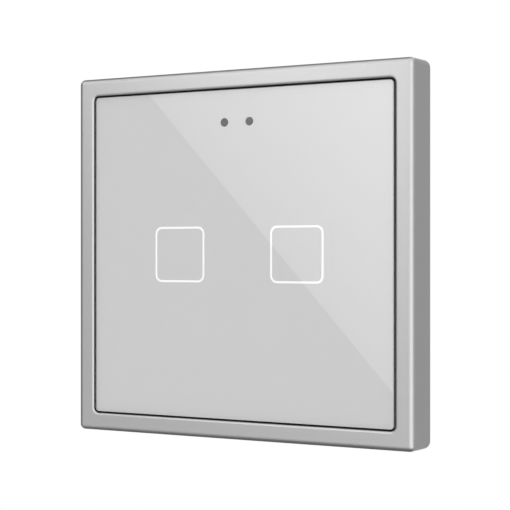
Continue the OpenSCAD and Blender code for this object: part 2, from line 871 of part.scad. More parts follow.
module terminal_block(n) {
    channel_l = y_tail + bar_t + run_gap - y_channel;
    color("darkslategray") on_wall() translate([terminal_x(n), 0, 0]) difference() {
        slab(z_back, z_power_back) translate([-block_w / 2, y_entry]) square([block_w, terminal_l]);
        slab(z_channel, z_power_back + over)
            translate([-channel_w / 2, y_channel]) square([channel_w, channel_l]);
        slab(z_shelf - over, z_channel + over)
            translate([0, y_cage]) circle(d = clamp_screw_d + 2 * shank_gap);
        slab(z_back - over, z_shelf) translate([0, y_cage]) circle(d = clamp_head_d + 2 * run_gap);
        translate([0, y_entry - over, z_wire]) rotate([-90, 0, 0])
            cylinder(r = wire_r, h = wire_entry_l + 2 * over);
    }
}

module terminal_cage(n) {
    window_w = cage_w - 2 * cage_wall;
    color("lightgray") on_wall() translate([terminal_x(n), y_cage, 0]) difference() {
        slab(z_nut, z_nut + cage_h) square([cage_w, cage_l], center = true);
        slab(z_nut + cage_nut_t, z_foot) square([window_w, cage_l + over], center = true);
        slab(z_nut - over, z_nut + cage_nut_t + over) circle(d = clamp_screw_d + 2 * thread_gap);
    }
}

module terminal_screw(n) {
    seat = z_shelf - seat_gap / 2;
    head = seat - clamp_head_h;
    color("silver") on_wall() translate([terminal_x(n), y_cage, 0]) difference() {
        union() {
            slab(head, seat) circle(d = clamp_head_d);
            slab(head, z_bar - seat_gap) circle(d = clamp_screw_d);
        }
        slab(head - over, head + 2 * drive_t) drive_cross(clamp_head_d);
    }
}

outer_frame();
glass_panel();
printed_film();
light_guide(-1);  // light_guide_left
light_guide(1);  // light_guide_right
sensor_window(-1);  // sensor_window_left
sensor_window(1);  // sensor_window_right
panel_tape();
panel_carrier();
touch_pad(-1);  // touch_pad_left
touch_pad(1);  // touch_pad_right
touch_board();
touch_controller();
board_chips();
indicator_leds();
sensor_chip(-1);  // light_sensor
sensor_chip(1);  // presence_sensor
link_header();
link_pins();
back_plate();
cover_screws();
holding_magnets();
mounting_bracket();
base_lid();
rear_housing();
bracket_screws();
power_board();
link_socket();
relay(-1);  // relay_left
relay(1);  // relay_right
transformer_core();
transformer_winding();
smoothing_capacitor();
suppression_capacitor();
varistor();
fuse();
bridge_rectifier();
terminal_busbars();
for (n = [1 : terminal_count]) {
    terminal_block(n);
    terminal_cage(n);
    terminal_screw(n);
}
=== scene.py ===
"""Dresses the two-field glass touch switch and sets the photograph's view of it.

Sizes are plan millimetres, as on the drawing: x to the right, y up, z out of the wall into the room.
A Sketch holds such a mesh and turns it into the part's own frame, in metres, when it becomes a piece.
"""

from __future__ import annotations

import json
import logging
import math
from dataclasses import dataclass
from enum import Enum
from functools import cache
from typing import Iterable, Sequence

import bmesh
import bpy
from mathutils import Matrix, Vector

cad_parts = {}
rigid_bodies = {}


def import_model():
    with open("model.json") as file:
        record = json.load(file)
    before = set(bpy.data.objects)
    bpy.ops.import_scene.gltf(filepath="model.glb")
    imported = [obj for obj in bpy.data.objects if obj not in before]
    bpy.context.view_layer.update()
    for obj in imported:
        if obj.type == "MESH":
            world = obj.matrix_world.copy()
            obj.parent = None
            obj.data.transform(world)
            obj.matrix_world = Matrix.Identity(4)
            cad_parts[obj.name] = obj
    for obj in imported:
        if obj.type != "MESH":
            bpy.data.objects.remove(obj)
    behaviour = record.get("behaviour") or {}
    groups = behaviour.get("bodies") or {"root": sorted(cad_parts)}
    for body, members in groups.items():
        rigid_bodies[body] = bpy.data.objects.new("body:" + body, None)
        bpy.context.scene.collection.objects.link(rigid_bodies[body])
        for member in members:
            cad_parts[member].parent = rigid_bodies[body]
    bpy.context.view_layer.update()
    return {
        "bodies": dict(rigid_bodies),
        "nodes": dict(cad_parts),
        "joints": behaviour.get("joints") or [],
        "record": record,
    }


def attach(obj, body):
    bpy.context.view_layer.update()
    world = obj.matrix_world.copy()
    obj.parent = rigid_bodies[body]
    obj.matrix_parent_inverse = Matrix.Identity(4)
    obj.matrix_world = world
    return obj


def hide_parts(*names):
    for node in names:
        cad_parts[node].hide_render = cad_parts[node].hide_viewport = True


LOG = logging.getLogger("touch_switch")
MM = 0.001
PLAN = Matrix(((1, 0, 0, 0), (0, 0, -1, 0), (0, 1, 0, 0), (0, 0, 0, 1))) @ Matrix.Scale(MM, 4)
FRONT = "touch_front"
BASE = "wall_base"
SIDES = (-1, 1)
QUARTERS = [Matrix.Rotation(math.pi / 2 * turn, 4, "Z") for turn in range(4)]
SHARP = math.radians(35)
SMOOTH = math.radians(40)
FLAT = math.radians(0.5)
WELD = 0.002
# A direction that no wire runs along, to start its rings from.
SKEW = Vector((0.31, 0.17, 0.93))
SURFACE_INPUTS = ("Color", "Scale", "Shade", "Roughness", "Spread")
SURFACE_OUTPUTS = ("Color", "Roughness", "Height")

Color = tuple[float, float, float]
Pair = tuple[float, float]
Size = tuple[float, float, float]
Ring = list[Vector]
Socket = bpy.types.NodeSocket


class Graph:
    """A shader node tree under construction."""

    def __init__(self, tree: bpy.types.NodeTree) -> None:
        """Starts on the given tree."""
        self.tree = tree

    def add(
        self, kind: str, inputs: dict[str | int, object] | None = None, **settings: object
    ) -> bpy.types.Node:
        """Adds a node.

        Args:
            kind: The node type, without ShaderNode in front of it.
            inputs: What each input gets, by name or number: a socket to link, or a plain value.
            settings: Attributes of the node itself.
        Returns:
            The new node.
        """
        node = self.tree.nodes.new(kind if kind.startswith("Node") else "ShaderNode" + kind)
        for name, value in settings.items():
            setattr(node, name, value)
        for name, value in (inputs or {}).items():
            if isinstance(value, Socket):
                self.tree.links.new(value, node.inputs[name])
            else:
                node.inputs[name].default_value = value
        return node

    def math(self, operation: str, *values: object) -> Socket:
        """Adds a Math node and returns its result."""
        return self.add("Math", dict(enumerate(values)), operation=operation).outputs[0]

    def spread(self, middle: object, swing: object, noise: Socket) -> Socket:
        """Varies a value.

        Args:
            middle: The value.
            swing: How far it varies to either side.
            noise: What varies it, from 0 to 1.
        Returns:
            The varied value.
        """
        signed = self.math("MULTIPLY_ADD", noise, 2.0, -1.0)
        return self.math("MULTIPLY_ADD", signed, swing, middle)

    def show(self, shader: Socket) -> None:
        """Makes a shader the one that shows."""
        self.add("OutputMaterial", {"Surface": shader})


def new_material(name: str) -> tuple[bpy.types.Material, Graph]:
    """Makes an empty node material.

    Args:
        name: The material's name.
    Returns:
        The material and its graph.
    """
    material = bpy.data.materials.new(name)
    material.use_nodes = True
    material.node_tree.nodes.clear()
    return material, Graph(material.node_tree)


class Effect(Enum):
    """Surface effects, each a node group that several finishes share."""

    GRAIN = "moulded_grain"
    DRAWN = "drawn_metal"
    SPANGLE = "zinc_spangle"
    TRACKS = "board_tracks"

    @cache
    def group(self) -> bpy.types.NodeTree:
        """Builds the effect's node group once.

        Returns:
            The group.
        """
        tree = bpy.data.node_groups.new(self.value, "ShaderNodeTree")
        for side, names in (("INPUT", SURFACE_INPUTS), ("OUTPUT", SURFACE_OUTPUTS)):
            for name in names:
                kind = "NodeSocketColor" if name == "Color" else "NodeSocketFloat"
                tree.interface.new_socket(name=name, in_out=side, socket_type=kind)
        graph = Graph(tree)
        given = graph.add("NodeGroupInput").outputs
        fine, broad = self.noises(graph, given["Scale"])
        both = graph.math("MULTIPLY", graph.math("ADD", fine, broad), 0.5)
        value = graph.spread(1.0, given["Shade"], both)
        tone = graph.add("HueSaturation", {"Color": given["Color"], "Value": value})
        rough = graph.spread(given["Roughness"], given["Spread"], both)
        graph.add("NodeGroupOutput", {"Color": tone.outputs[0], "Roughness": rough, "Height": fine})
        return tree

    def noises(self, graph: Graph, scale: Socket) -> tuple[Socket, ...]:
        """Makes the effect's fine pattern and its slow change of tone.

        Args:
            graph: The group's graph.
            scale: How many grains fit in a metre.
        Returns:
            Both, from 0 to 1.
        """
        place = graph.add("TexCoord").outputs["Object"]
        slow = graph.math("MULTIPLY", scale, 0.05)
        broad = graph.add("TexNoise", {"Vector": place, "Scale": slow, "Detail": 2.0}).outputs[0]
        if self is Effect.DRAWN:
            place = graph.add("Mapping", {"Vector": place, "Scale": (0.03, 1.0, 1.0)}).outputs[0]
        if self is Effect.TRACKS:
            turned = graph.add("Mapping", {"Vector": place, "Rotation": (-math.pi / 2, 0.0, 0.0)}).outputs[0]
            gaps = {"Mortar Size": 0.07, "Mortar Smooth": 0.3, "Bias": -1.0}
            bricks = {"Vector": turned, "Scale": scale, **gaps}
            return graph.add("TexBrick", bricks, offset=0.37, squash=1.7).outputs["Fac"], broad
        if self is Effect.SPANGLE:
            cells = graph.add("TexVoronoi", {"Vector": place, "Scale": scale}).outputs["Color"]
            return graph.add("SeparateColor", {0: cells}).outputs[0], broad
        fine = graph.add("TexNoise", {"Vector": place, "Scale": scale, "Detail": 3.0, "Roughness": 0.6})
        return fine.outputs[0], broad


@dataclass(frozen=True)
class Finish:
    """A finish of the record: its colour, gloss and grain."""

    slot: str
    color: Color
    roughness: float = 0.5
    metallic: float = 0.0
    grain: float = 0.25
    shade: float = 0.08
    spread: float = 0.06
    bump: float = 0.004
    glow: float = 0.0
    coat: float = 0.0
    effect: Effect = Effect.GRAIN

    @cache
    def material(self) -> bpy.types.Material:
        """Builds the material once; its effect drives colour, roughness and bump.

        Returns:
            The material.
        """
        material, graph = new_material(self.slot + "_finish")
        scale = 1.0 / (self.grain * MM)
        values = ((*self.color, 1.0), scale, self.shade, self.roughness, self.spread)
        surface = graph.add("Group", dict(zip(SURFACE_INPUTS, values)), node_tree=self.effect.group())
        bump = graph.add("Bump", {"Height": surface.outputs["Height"], "Distance": self.bump * MM})
        shader = graph.add(
            "BsdfPrincipled",
            {
                "Base Color": surface.outputs["Color"],
                "Roughness": surface.outputs["Roughness"],
                "Normal": bump.outputs[0],
                "Metallic": self.metallic,
                "Coat Weight": self.coat,
                "Emission Color": (*self.color, 1.0),
                "Emission Strength": self.glow,
            },
        )
        graph.show(shader.outputs[0])
        return material


@dataclass(frozen=True)
class CoverGlass:
    """Clear cover glass bonded to the print behind it; its edge shows black, partly a blackened edge and
    partly painted shade for the dark gap around the glass.
    """

    slot: str = "clear_glass"
    color: Color = (0.99, 0.995, 0.99)
    ior: float = 1.75
    # The edge's black: partly a blackened edge, partly painted shade for the gap around the glass.
    side: Color = (0.012, 0.012, 0.013)
    side_roughness: float = 0.6

    def lit_through(self, name: str, values: dict[str, object]) -> bpy.types.Material:
        """Makes a coat that lamps and soft light pass on their way to the print.

        Args:
            name: The material's name.
            values: What its shader's inputs get.
        Returns:
            The material.
        """
        material, graph = new_material(name)
        shown = graph.add("BsdfPrincipled", values).outputs[0]
        path = graph.add("LightPath").outputs
        for ray in ("Is Shadow Ray", "Is Diffuse Ray"):
            clear = graph.add("BsdfTransparent", {"Color": (*self.color, 1.0)}).outputs[0]
            shown = graph.add("MixShader", {0: path[ray], 1: shown, 2: clear}).outputs[0]
        graph.show(shown)
        return material

    def clear(self) -> bpy.types.Material:
        """Makes the face, which refracts."""
        optics = {"Roughness": 0.0, "IOR": self.ior, "Transmission Weight": 1.0}
        return self.lit_through(self.slot + "_finish", {"Base Color": (*self.color, 1.0), **optics})

    def blackened(self) -> bpy.types.Material:
        """Makes the edge, black to sight and reflections: partly a blackened edge, partly painted shade for
        the gap around the glass.
        """
        look = {"Base Color": (*self.side, 1.0), "Roughness": self.side_roughness}
        return self.lit_through("blackened_edge_and_gap_shade", look)

    def bonded(self) -> bpy.types.Material:
        """Makes the back, where the clear bond leaves no second reflection.

        Returns:
            The material.
        """
        material, graph = new_material("clear_bond")
        shader = graph.add("BsdfPrincipled", {"Base Color": (*self.color, 1.0), "Alpha": 0.0})
        graph.show(shader.outputs[0])
        return material


METAL = {"metallic": 1.0, "effect": Effect.DRAWN, "grain": 0.15}
SPRAYED = {"grain": 0.1, "shade": 0.03, "spread": 0.02, "bump": 0.0006}
TRACKED = {"effect": Effect.TRACKS, "grain": 2.0, "shade": 0.25, "bump": 0.03}
GALVANISED = {"effect": Effect.SPANGLE, "grain": 2.2, "shade": 0.12, "bump": 0.002}
LACQUER = Finish("silver_lacquer", (0.56, 0.56, 0.558), 0.38, 0.85, **SPRAYED)
PRINT = Finish("silver_print", (0.741, 0.741, 0.741), 0.55, grain=0.1, shade=0.02, bump=0.0)
OPAL = Finish("opal_plastic", (0.9, 0.9, 0.9), 0.4, glow=0.36)
FILTER = Finish("dark_filter", (0.012, 0.012, 0.013), 0.6)
FOAM = Finish("foam_tape", (0.03, 0.03, 0.03), 0.9, grain=0.4, bump=0.05)
BLACK = Finish("black_plastic", (0.02, 0.02, 0.022), 0.5)
BRASS = Finish("electrode_brass", (0.72, 0.56, 0.25), 0.3, **METAL)
BOARD = Finish("circuit_board", (0.02, 0.13, 0.06), 0.35, **TRACKED)
EPOXY = Finish("chip_epoxy", (0.03, 0.03, 0.032), 0.55)
RESIN = Finish("diode_resin", (0.85, 0.8, 0.55), 0.25)
GOLD = Finish("gold_pin", (0.85, 0.62, 0.25), 0.22, **METAL)
WHITE = Finish("white_plastic", (0.78, 0.78, 0.765), 0.45, grain=0.35, shade=0.03, bump=0.008)
STEEL = Finish("screw_steel", (0.62, 0.62, 0.6), 0.3, **METAL)
NICKEL = Finish("magnet_nickel", (0.66, 0.65, 0.62), 0.18, 1.0, bump=0.001)
ZINC = Finish("zinc_steel", (0.6, 0.61, 0.62), 0.36, 1.0, **GALVANISED)
RELAY = Finish("relay_case", (0.03, 0.12, 0.42), 0.35)
FERRITE = Finish("ferrite", (0.07, 0.07, 0.075), 0.6, grain=0.4, bump=0.01)
COPPER = Finish("copper_wire", (0.7, 0.27, 0.1), 0.25, 1.0, coat=0.5)
SLEEVE = Finish("capacitor_sleeve", (0.02, 0.03, 0.1), 0.25)
CASE = Finish("capacitor_case", (0.72, 0.52, 0.06), 0.3)
DISC = Finish("varistor_lacquer", (0.03, 0.18, 0.34), 0.25)
CERAMIC = Finish("fuse_ceramic", (0.7, 0.62, 0.48), 0.5)
TERMINAL = Finish("terminal_plastic", (0.05, 0.055, 0.06), 0.45, grain=0.3, bump=0.008)


def rounded_ring(half: Pair, radius: float, z: float, steps: int = 8) -> Ring:
    """Draws a rounded rectangle as one ring of points.

    Args:
        half: Half of its width and of its height.
        radius: Its corner radius.
        z: Its plan height.
        steps: Segments in each corner.
    Returns:
        The points, anticlockwise.
    """
    ring = []
    for corner, (sx, sy) in enumerate(((1, 1), (-1, 1), (-1, -1), (1, -1))):
        for step in range(steps + 1):
            turn = math.pi / 2 * (corner + step / steps)
            x = sx * (half[0] - radius) + radius * math.cos(turn)
            y = sy * (half[1] - radius) + radius * math.sin(turn)
            ring.append(Vector((x, y, z)))
    return ring


def halved(size: Pair, inset: float = 0.0) -> Pair:
    """Returns half of a width and half of a height, less an inset."""
    return size[0] / 2 - inset, size[1] / 2 - inset


def square_ring(half: float, radius: float, z: float, steps: int = 8) -> Ring:
    """Draws a rounded square as one ring of points."""
    return rounded_ring((half, half), radius, z, steps)


def circle(radius: float, z: float, sides: int = 40) -> Ring:
    """Draws a circle about the origin at a height."""
    turns = (2 * math.pi * i / sides for i in range(sides))
    return [Vector((radius * math.cos(t), radius * math.sin(t), z)) for t in turns]


def arc(centre: Pair, radius: float, start: float, end: float, steps: int = 6) -> list[Pair]:
    """Draws an arc of a section.

    Args:
        centre: Its centre.
        radius: Its radius.
        start: Where it starts, in degrees.
        end: Where it ends.
        steps: Its segments.
    Returns:
        Its points.
    """
    turns = [math.radians(start + (end - start) * i / steps) for i in range(steps + 1)]
    return [(centre[0] + radius * math.cos(t), centre[1] + radius * math.sin(t)) for t in turns]


def at(x: float, y: float, z: float = 0.0) -> Matrix:
    """Returns a plan place."""
    return Matrix.Translation((x, y, z))


def corners(x: float, y: float) -> list[Pair]:
    """Returns a place in each corner of a rectangle, from half its width and half its height."""
    return [(sx * x, sy * y) for sx in SIDES for sy in SIDES]


def row(count: int, pitch: float) -> list[float]:
    """Returns evenly spaced places about the middle."""
    return [(i - (count - 1) / 2) * pitch for i in range(count)]


def round_edges(bm: bmesh.types.BMesh, edges: list[bmesh.types.BMEdge], radius: float) -> None:
    """Rounds edges, each in the finish of the faces beside it.

    Args:
        bm: The mesh.
        edges: The edges.
        radius: How far the rounding reaches.
    """
    bmesh.ops.bevel(bm, geom=edges, offset=radius, segments=3, profile=0.5, affect="EDGES", material=-1)


class Sketch:
    """A mesh under construction, in plan millimetres; self.finish numbers the finish of new faces.

    Turned parts are drawn before blocks, so that the points come in the same order each run.
    """

    def __init__(self) -> None:
        """Starts an empty mesh."""
        self.bm = bmesh.new()
        self.finish = 0

    def loft(
        self, rings: Sequence[Ring], place: Matrix = Matrix(), closed: bool = False, ends: str = ""
    ) -> list[list[bmesh.types.BMVert]]:
        """Joins rings of equal length with quads.

        Args:
            rings: The rings, in order.
            place: Where they go.
            closed: Whether the last ring joins the first.
            ends: Which ends get a flat face: "first", "last" or "both".
        Returns:
            The rows of vertices.
        """
        rows = [[self.bm.verts.new(place @ point) for point in ring] for ring in rings]
        pairs = list(zip(rows, rows[1:]))
        if closed:
            pairs.append((rows[-1], rows[0]))
        for low, high in pairs:
            for i in range(len(low)):
                j = (i + 1) % len(low)
                self.bm.faces.new((low[i], low[j], high[j], high[i])).material_index = self.finish
        if ends in ("first", "both"):
            self.bm.faces.new(rows[0]).material_index = self.finish
        if ends in ("last", "both"):
            self.bm.faces.new(rows[-1]).material_index = self.finish
        return rows

    def turned(self, profile: Sequence[Pair], place: Matrix = Matrix(), sides: int = 40) -> None:
        """Turns a closed piece about the z axis of a place.

        Args:
            profile: Its section, as pairs of radius and height.
            place: Where it goes.
            sides: Segments around it.
        """
        self.loft([circle(r, z, sides) for r, z in profile], place, ends="both")

    def block(self, size: Size, place: Matrix, edge: float = 0.1) -> None:
        """Adds a block with rounded edges.

        Args:
            size: Its width, height and depth.
            place: Its middle.
            edge: Rounding of its edges.
        """
        made = bmesh.ops.create_cube(self.bm, size=1.0, matrix=place @ Matrix.Diagonal((*size, 1.0)))
        edges = list({e for v in made["verts"] for e in v.link_edges})
        for face in {f for e in edges for f in e.link_faces}:
            face.material_index = self.finish
        round_edges(self.bm, edges, edge)

    def hung(self, size: Size, place: Matrix, gap: float = 0.0, edge: float = 0.1) -> None:
        """Adds a block that hangs behind a board.

        Args:
            size: Its width and length, and how far behind the board it reaches.
            place: Its place on the board's back.
            gap: How far behind the board it starts.
            edge: Rounding of its edges.
        """
        width, length, reach = size
        self.block((width, length, reach - gap), place @ at(0, 0, -(reach + gap) / 2), edge)

    def tube(self, path: Sequence[Vector], radius: float, sides: int = 10) -> None:
        """Sweeps a round wire along a path.

        Args:
            path: Its points.
            radius: Its radius.
            sides: Segments around it.
        """
        rings = []
        across = SKEW
        for i, point in enumerate(path):
            along = (path[min(i + 1, len(path) - 1)] - path[max(i - 1, 0)]).normalized()
            across = (across - along * across.dot(along)).normalized()
            third = along.cross(across)
            rings.append([point + across * p.x + third * p.y for p in circle(radius, 0.0, sides)])
        self.loft(rings, ends="both")

    def piece(
        self, name: str, body: str, finishes: Sequence[Finish], replaced: Iterable[str] = ()
    ) -> bpy.types.Object:
        """Turns the sketch into a piece that rides on a body.

        Args:
            name: The piece's name.
            body: The body that carries it.
            finishes: Its finishes, the main one first.
            replaced: The nodes that it stands for.
        Returns:
            The new object.
        """
        bmesh.ops.transform(self.bm, matrix=PLAN, verts=self.bm.verts)
        bmesh.ops.recalc_face_normals(self.bm, faces=self.bm.faces)
        mesh = bpy.data.meshes.new(name)
        self.bm.to_mesh(mesh)
        self.bm.free()
        mesh.polygons.foreach_set("use_smooth", [True] * len(mesh.polygons))
        mesh.set_sharp_from_angle(angle=SMOOTH)
        for finish in finishes:
            mesh.materials.append(finish.material())
        piece = bpy.data.objects.new(name, mesh)
        bpy.context.scene.collection.objects.link(piece)
        piece.modifiers.new("even_normals", "WEIGHTED_NORMAL").keep_sharp = True
        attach(piece, body)
        if replaced:
            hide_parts(*replaced)
        LOG.info("piece %s on %s", name, body)
        return piece


def dress_node(frame: dict, name: str, finish: Finish) -> None:
    """Gives a node its finish as it stands.

    Args:
        frame: The loaded frame.
        name: The node.
        finish: Its finish.
    """
    node = frame["nodes"][name]
    node.data.materials.clear()
    node.data.materials.append(finish.material())
    LOG.info("node %s in %s", name, finish.slot)


def edge_node(
    frame: dict, name: str, body: str, finish: Finish, edge: float, below: float = math.inf
) -> None:
    """Makes a piece of a node's shape with its outer edges rounded, as moulding or pressing leaves them.

    Args:
        frame: The loaded frame.
        name: The node.
        body: The body that carries it.
        finish: Its finish.
        edge: Rounding of its outer edges.
        below: Plan height that an edge reaches below to be rounded.
    """
    sketch = Sketch()
    bm = sketch.bm
    bm.from_mesh(frame["nodes"][name].data)
    bmesh.ops.transform(bm, matrix=PLAN.inverted(), verts=bm.verts)
    bmesh.ops.remove_doubles(bm, verts=bm.verts, dist=WELD)
    bmesh.ops.dissolve_limit(bm, angle_limit=FLAT, verts=bm.verts, edges=bm.edges)
    bm.normal_update()
    outer = [e for e in bm.edges if e.is_manifold and e.is_convex and e.calc_face_angle() > SHARP]
    outer = [e for e in outer if min(v.co.z for v in e.verts) < below]
    round_edges(bm, outer, edge)
    sketch.piece(name + "_edged", body, [finish], [name])


@dataclass(frozen=True)
class Screw:
    """A pan head screw with a cross slot, its head at the back and its tip towards the room.

    drive_taper is the slot's size at its floor, as a share of its size at the top.
    """

    head_d: float
    head_h: float
    shank_d: float
    length: float
    thread_l: float
    pitch: float = 0.5
    thread_depth: float = 0.22
    drive_w: float = 0.7
    drive_margin: float = 0.6
    drive_t: float = 0.4
    drive_taper: float = 0.85
    crown: float = 0.4
    head_chamfer: float = 0.08
    tip_chamfer: float = 0.3
    turn_steps: int = 8
    sides: int = 32

    def cross(self, z: float, share: float) -> Ring:
        """Draws the outline of the cross slot, with as many points as the head around it.

        Args:
            z: Its height.
            share: Its size, as a share of its size at the top.
        Returns:
            Its points, eight to an arm.
        """
        reach = share * (self.head_d / 2 - self.drive_margin)
        half = share * self.drive_w / 2
        steps = [half + (reach - half) * i / 3 for i in range(4)]
        arm = [(reach, 0.0), *((x, half) for x in reversed(steps)), *((half, y) for y in steps[1:])]
        return [quarter @ Vector((x, y, z)) for quarter in QUARTERS for x, y in arm]

    def head(self) -> list[Ring]:
        """Draws the head.

        Returns:
            Its rings, from the rim of its flat top to the shank.
        """
        half, height, edge = self.head_d / 2, self.head_h, self.head_chamfer
        section = arc((half - self.crown, self.crown), self.crown, -90, 0)
        section += [(half, height - edge), (half - edge, height), (self.shank_d / 2, height)]
        return [circle(r, z, self.sides) for r, z in section]

    def thread(self) -> list[Ring]:
        """Draws the shank with its thread, which fades out at both ends.

        Returns:
            Its rings, from the start of the thread to the tip.
        """
        tip = self.head_h + self.length
        start = tip - self.thread_l
        chamfer = min(self.tip_chamfer, self.thread_l / 4)
        steps = round((self.thread_l - chamfer) / self.pitch * self.turn_steps)
        rings = [circle(self.shank_d / 2, start, self.sides)]
        for step in range(1, steps):
            z = start + step * self.pitch / self.turn_steps
            fade = min(1.0, step / self.turn_steps, 2 * (steps - step) / self.turn_steps)
            ring = []
            for i in range(self.sides):
                wave = abs((z / self.pitch - i / self.sides) % 1.0 * 2.0 - 1.0)
                turn = 2 * math.pi * i / self.sides
                r = self.shank_d / 2 - self.thread_depth * fade * wave
                ring.append(Vector((r * math.cos(turn), r * math.sin(turn), z)))
            rings.append(ring)
        rings.append(circle(self.shank_d / 2 - self.thread_depth, tip - chamfer, self.sides))
        rings.append(circle(self.shank_d / 2 - self.thread_depth - chamfer / 2, tip, self.sides))
        return rings

    def draw(self, sketch: Sketch, place: Matrix) -> None:
        """Adds the screw to a sketch, at the place of its head's flat top."""
        slot = [self.cross(self.drive_t, self.drive_taper), self.cross(0.0, 1.0)]
        sketch.loft([*slot, *self.head(), *self.thread()], place, ends="both")

    def four(self, name: str, body: str, reach: float, z: float, node: str) -> None:
        """Builds four of the screws as one piece, one in each corner.

        Args:
            name: The piece's name.
            body: The body that carries it.
            reach: How far the screws sit from the middle, across and up.
            z: The height of their heads' flat tops.
            node: The node that it stands for.
        """
        sketch = Sketch()
        for x, y in corners(reach, reach):
            self.draw(sketch, at(x, y, z))
        sketch.piece(name, body, [STEEL], [node])


@dataclass
class SilverFrame:
    """The moulded frame around the glass, with the snap ribs inside it and painted shade on the wall of its
    mouth.
    """

    width: float = 82.5
    depth: float = 9.4
    draft: float = 0.64
    corner_r: float = 1.8
    edge_r: float = 1.2
    opening: float = 73.1
    opening_r: float = 1.15
    inner_r: float = 0.6
    bare_reach: float = 0.15
    bare_z: float = 0.3
    lip_back: float = 6.25
    cavity: float = 77.8
    cavity_r: float = 1.2
    rim_r: float = 0.12
    rib_l: float = 10.0
    rib_h: float = 0.6
    rib_at: float = 20.0
    rib_z: Pair = (4.35, 5.15)
    rib_edge: float = 0.15

    def outside(self) -> list[Ring]:
        """Draws the outside.

        Returns:
            Its rings, from the back rim up the drafted side and over the front edge.
        """
        axis = self.width / 2 - self.corner_r
        base = self.depth - self.edge_r
        slant = math.hypot(self.depth, self.draft)
        centre = self.corner_r - (self.edge_r * slant + base * self.draft) / self.depth
        lean = math.degrees(math.atan2(self.draft, self.depth))
        rim = self.corner_r - self.draft * self.rim_r / self.depth
        section = arc((rim - self.rim_r, self.rim_r), self.rim_r, -90, 0, 3)
        section += arc((centre, base), self.edge_r, lean, 90, 12)
        return [square_ring(axis + u, u, z) for u, z in section]

    def inside(self) -> list[Ring]:
        """Draws the inside.

        Returns:
            Its rings: the mouth beside the glass, the lip behind it and the cavity, to the back rim.
        """
        half, lip = self.opening / 2, self.lip_back
        mouth = arc((half + self.inner_r, self.depth - self.inner_r), self.inner_r, 90, 180, 8)
        rings = [square_ring(x, self.opening_r + x - half, z) for x, z in mouth]
        for grow, z in ((0.0, lip + self.rim_r), (self.rim_r, lip)):
            rings.append(square_ring(half + grow, self.opening_r + grow, z))
        wall = self.cavity / 2
        for grow, z in ((0.0, lip), (0.0, self.rim_r), (self.rim_r, 0.0)):
            rings.append(square_ring(wall + grow, self.cavity_r + grow, z))
        return rings

    def blacken(self, sketch: Sketch) -> None:
        """Paints the wall beside the glass black, from a little below the front, as painted shade for the
        deep gap around the glass.

        Args:
            sketch: The frame's sketch.
        """
        for face in sketch.bm.faces:
            middle = face.calc_center_median()
            # Painted shade: faces of the mouth's wall get the black slot, so the gap beside the glass reads
            # dark.
            beside = max(abs(middle.x), abs(middle.y)) < self.opening / 2 + self.bare_reach
            if beside and middle.z < self.depth - self.bare_z:
                face.material_index = 1

    def build(self) -> None:
        """Builds the frame as one closed loop of rings, with its ribs."""
        sketch = Sketch()
        sketch.loft(self.outside() + self.inside(), closed=True)
        self.blacken(sketch)
        low, high = self.rib_z
        rib = (2 * self.rib_h, self.rib_l, high - low)
        for quarter in QUARTERS:
            for side in SIDES:
                middle = at(self.cavity / 2, side * self.rib_at, (low + high) / 2)
                sketch.block(rib, quarter @ middle, self.rib_edge)
        # The second finish, BLACK, is the painted shade on the wall of the mouth.
        sketch.piece("silver_frame", FRONT, [LACQUER, BLACK], ["outer_frame"])


@dataclass
class TouchGlass:
    """The cover glass with its ground arris, and the print, outlines and dots behind it."""

    width: float = 72.4
    back: float = 8.5
    front: float = 9.3
    corner_r: float = 0.8
    arris: float = 0.15
    finish: CoverGlass = CoverGlass()

    def build(self) -> None:
        """Builds the glass: a clear face and arris, a black edge that is partly painted shade for the gap
        around it, and a bonded back.
        """
        half, face = self.width / 2, self.width / 2 - self.arris
        sketch = Sketch()
        rings = [
            square_ring(half, self.corner_r, self.back),
            square_ring(half, self.corner_r, self.front - self.arris),
            square_ring(face, self.corner_r - self.arris, self.front),
        ]
        rows = sketch.loft(rings, ends="both")
        low = set(rows[0])
        for polygon in sketch.bm.faces:
            touching = sum(v in low for v in polygon.verts)
            # Slot 2 is the black edge, partly painted shade for the gap around the glass.
            polygon.material_index = 1 if touching > 2 else 2 * (touching == 2)
        piece = sketch.piece("cover_glass", FRONT, [], ["glass_panel"])
        for material in (self.finish.clear(), self.finish.bonded(), self.finish.blackened()):
            piece.data.materials.append(material)

    def dress(self, frame: dict) -> None:
        """Finishes the print, the outlines and the dots.

        Args:
            frame: The loaded frame.
        """
        dress_node(frame, "printed_film", PRINT)
        for side in ("left", "right"):
            dress_node(frame, f"light_guide_{side}", OPAL)
            dress_node(frame, f"sensor_window_{side}", FILTER)


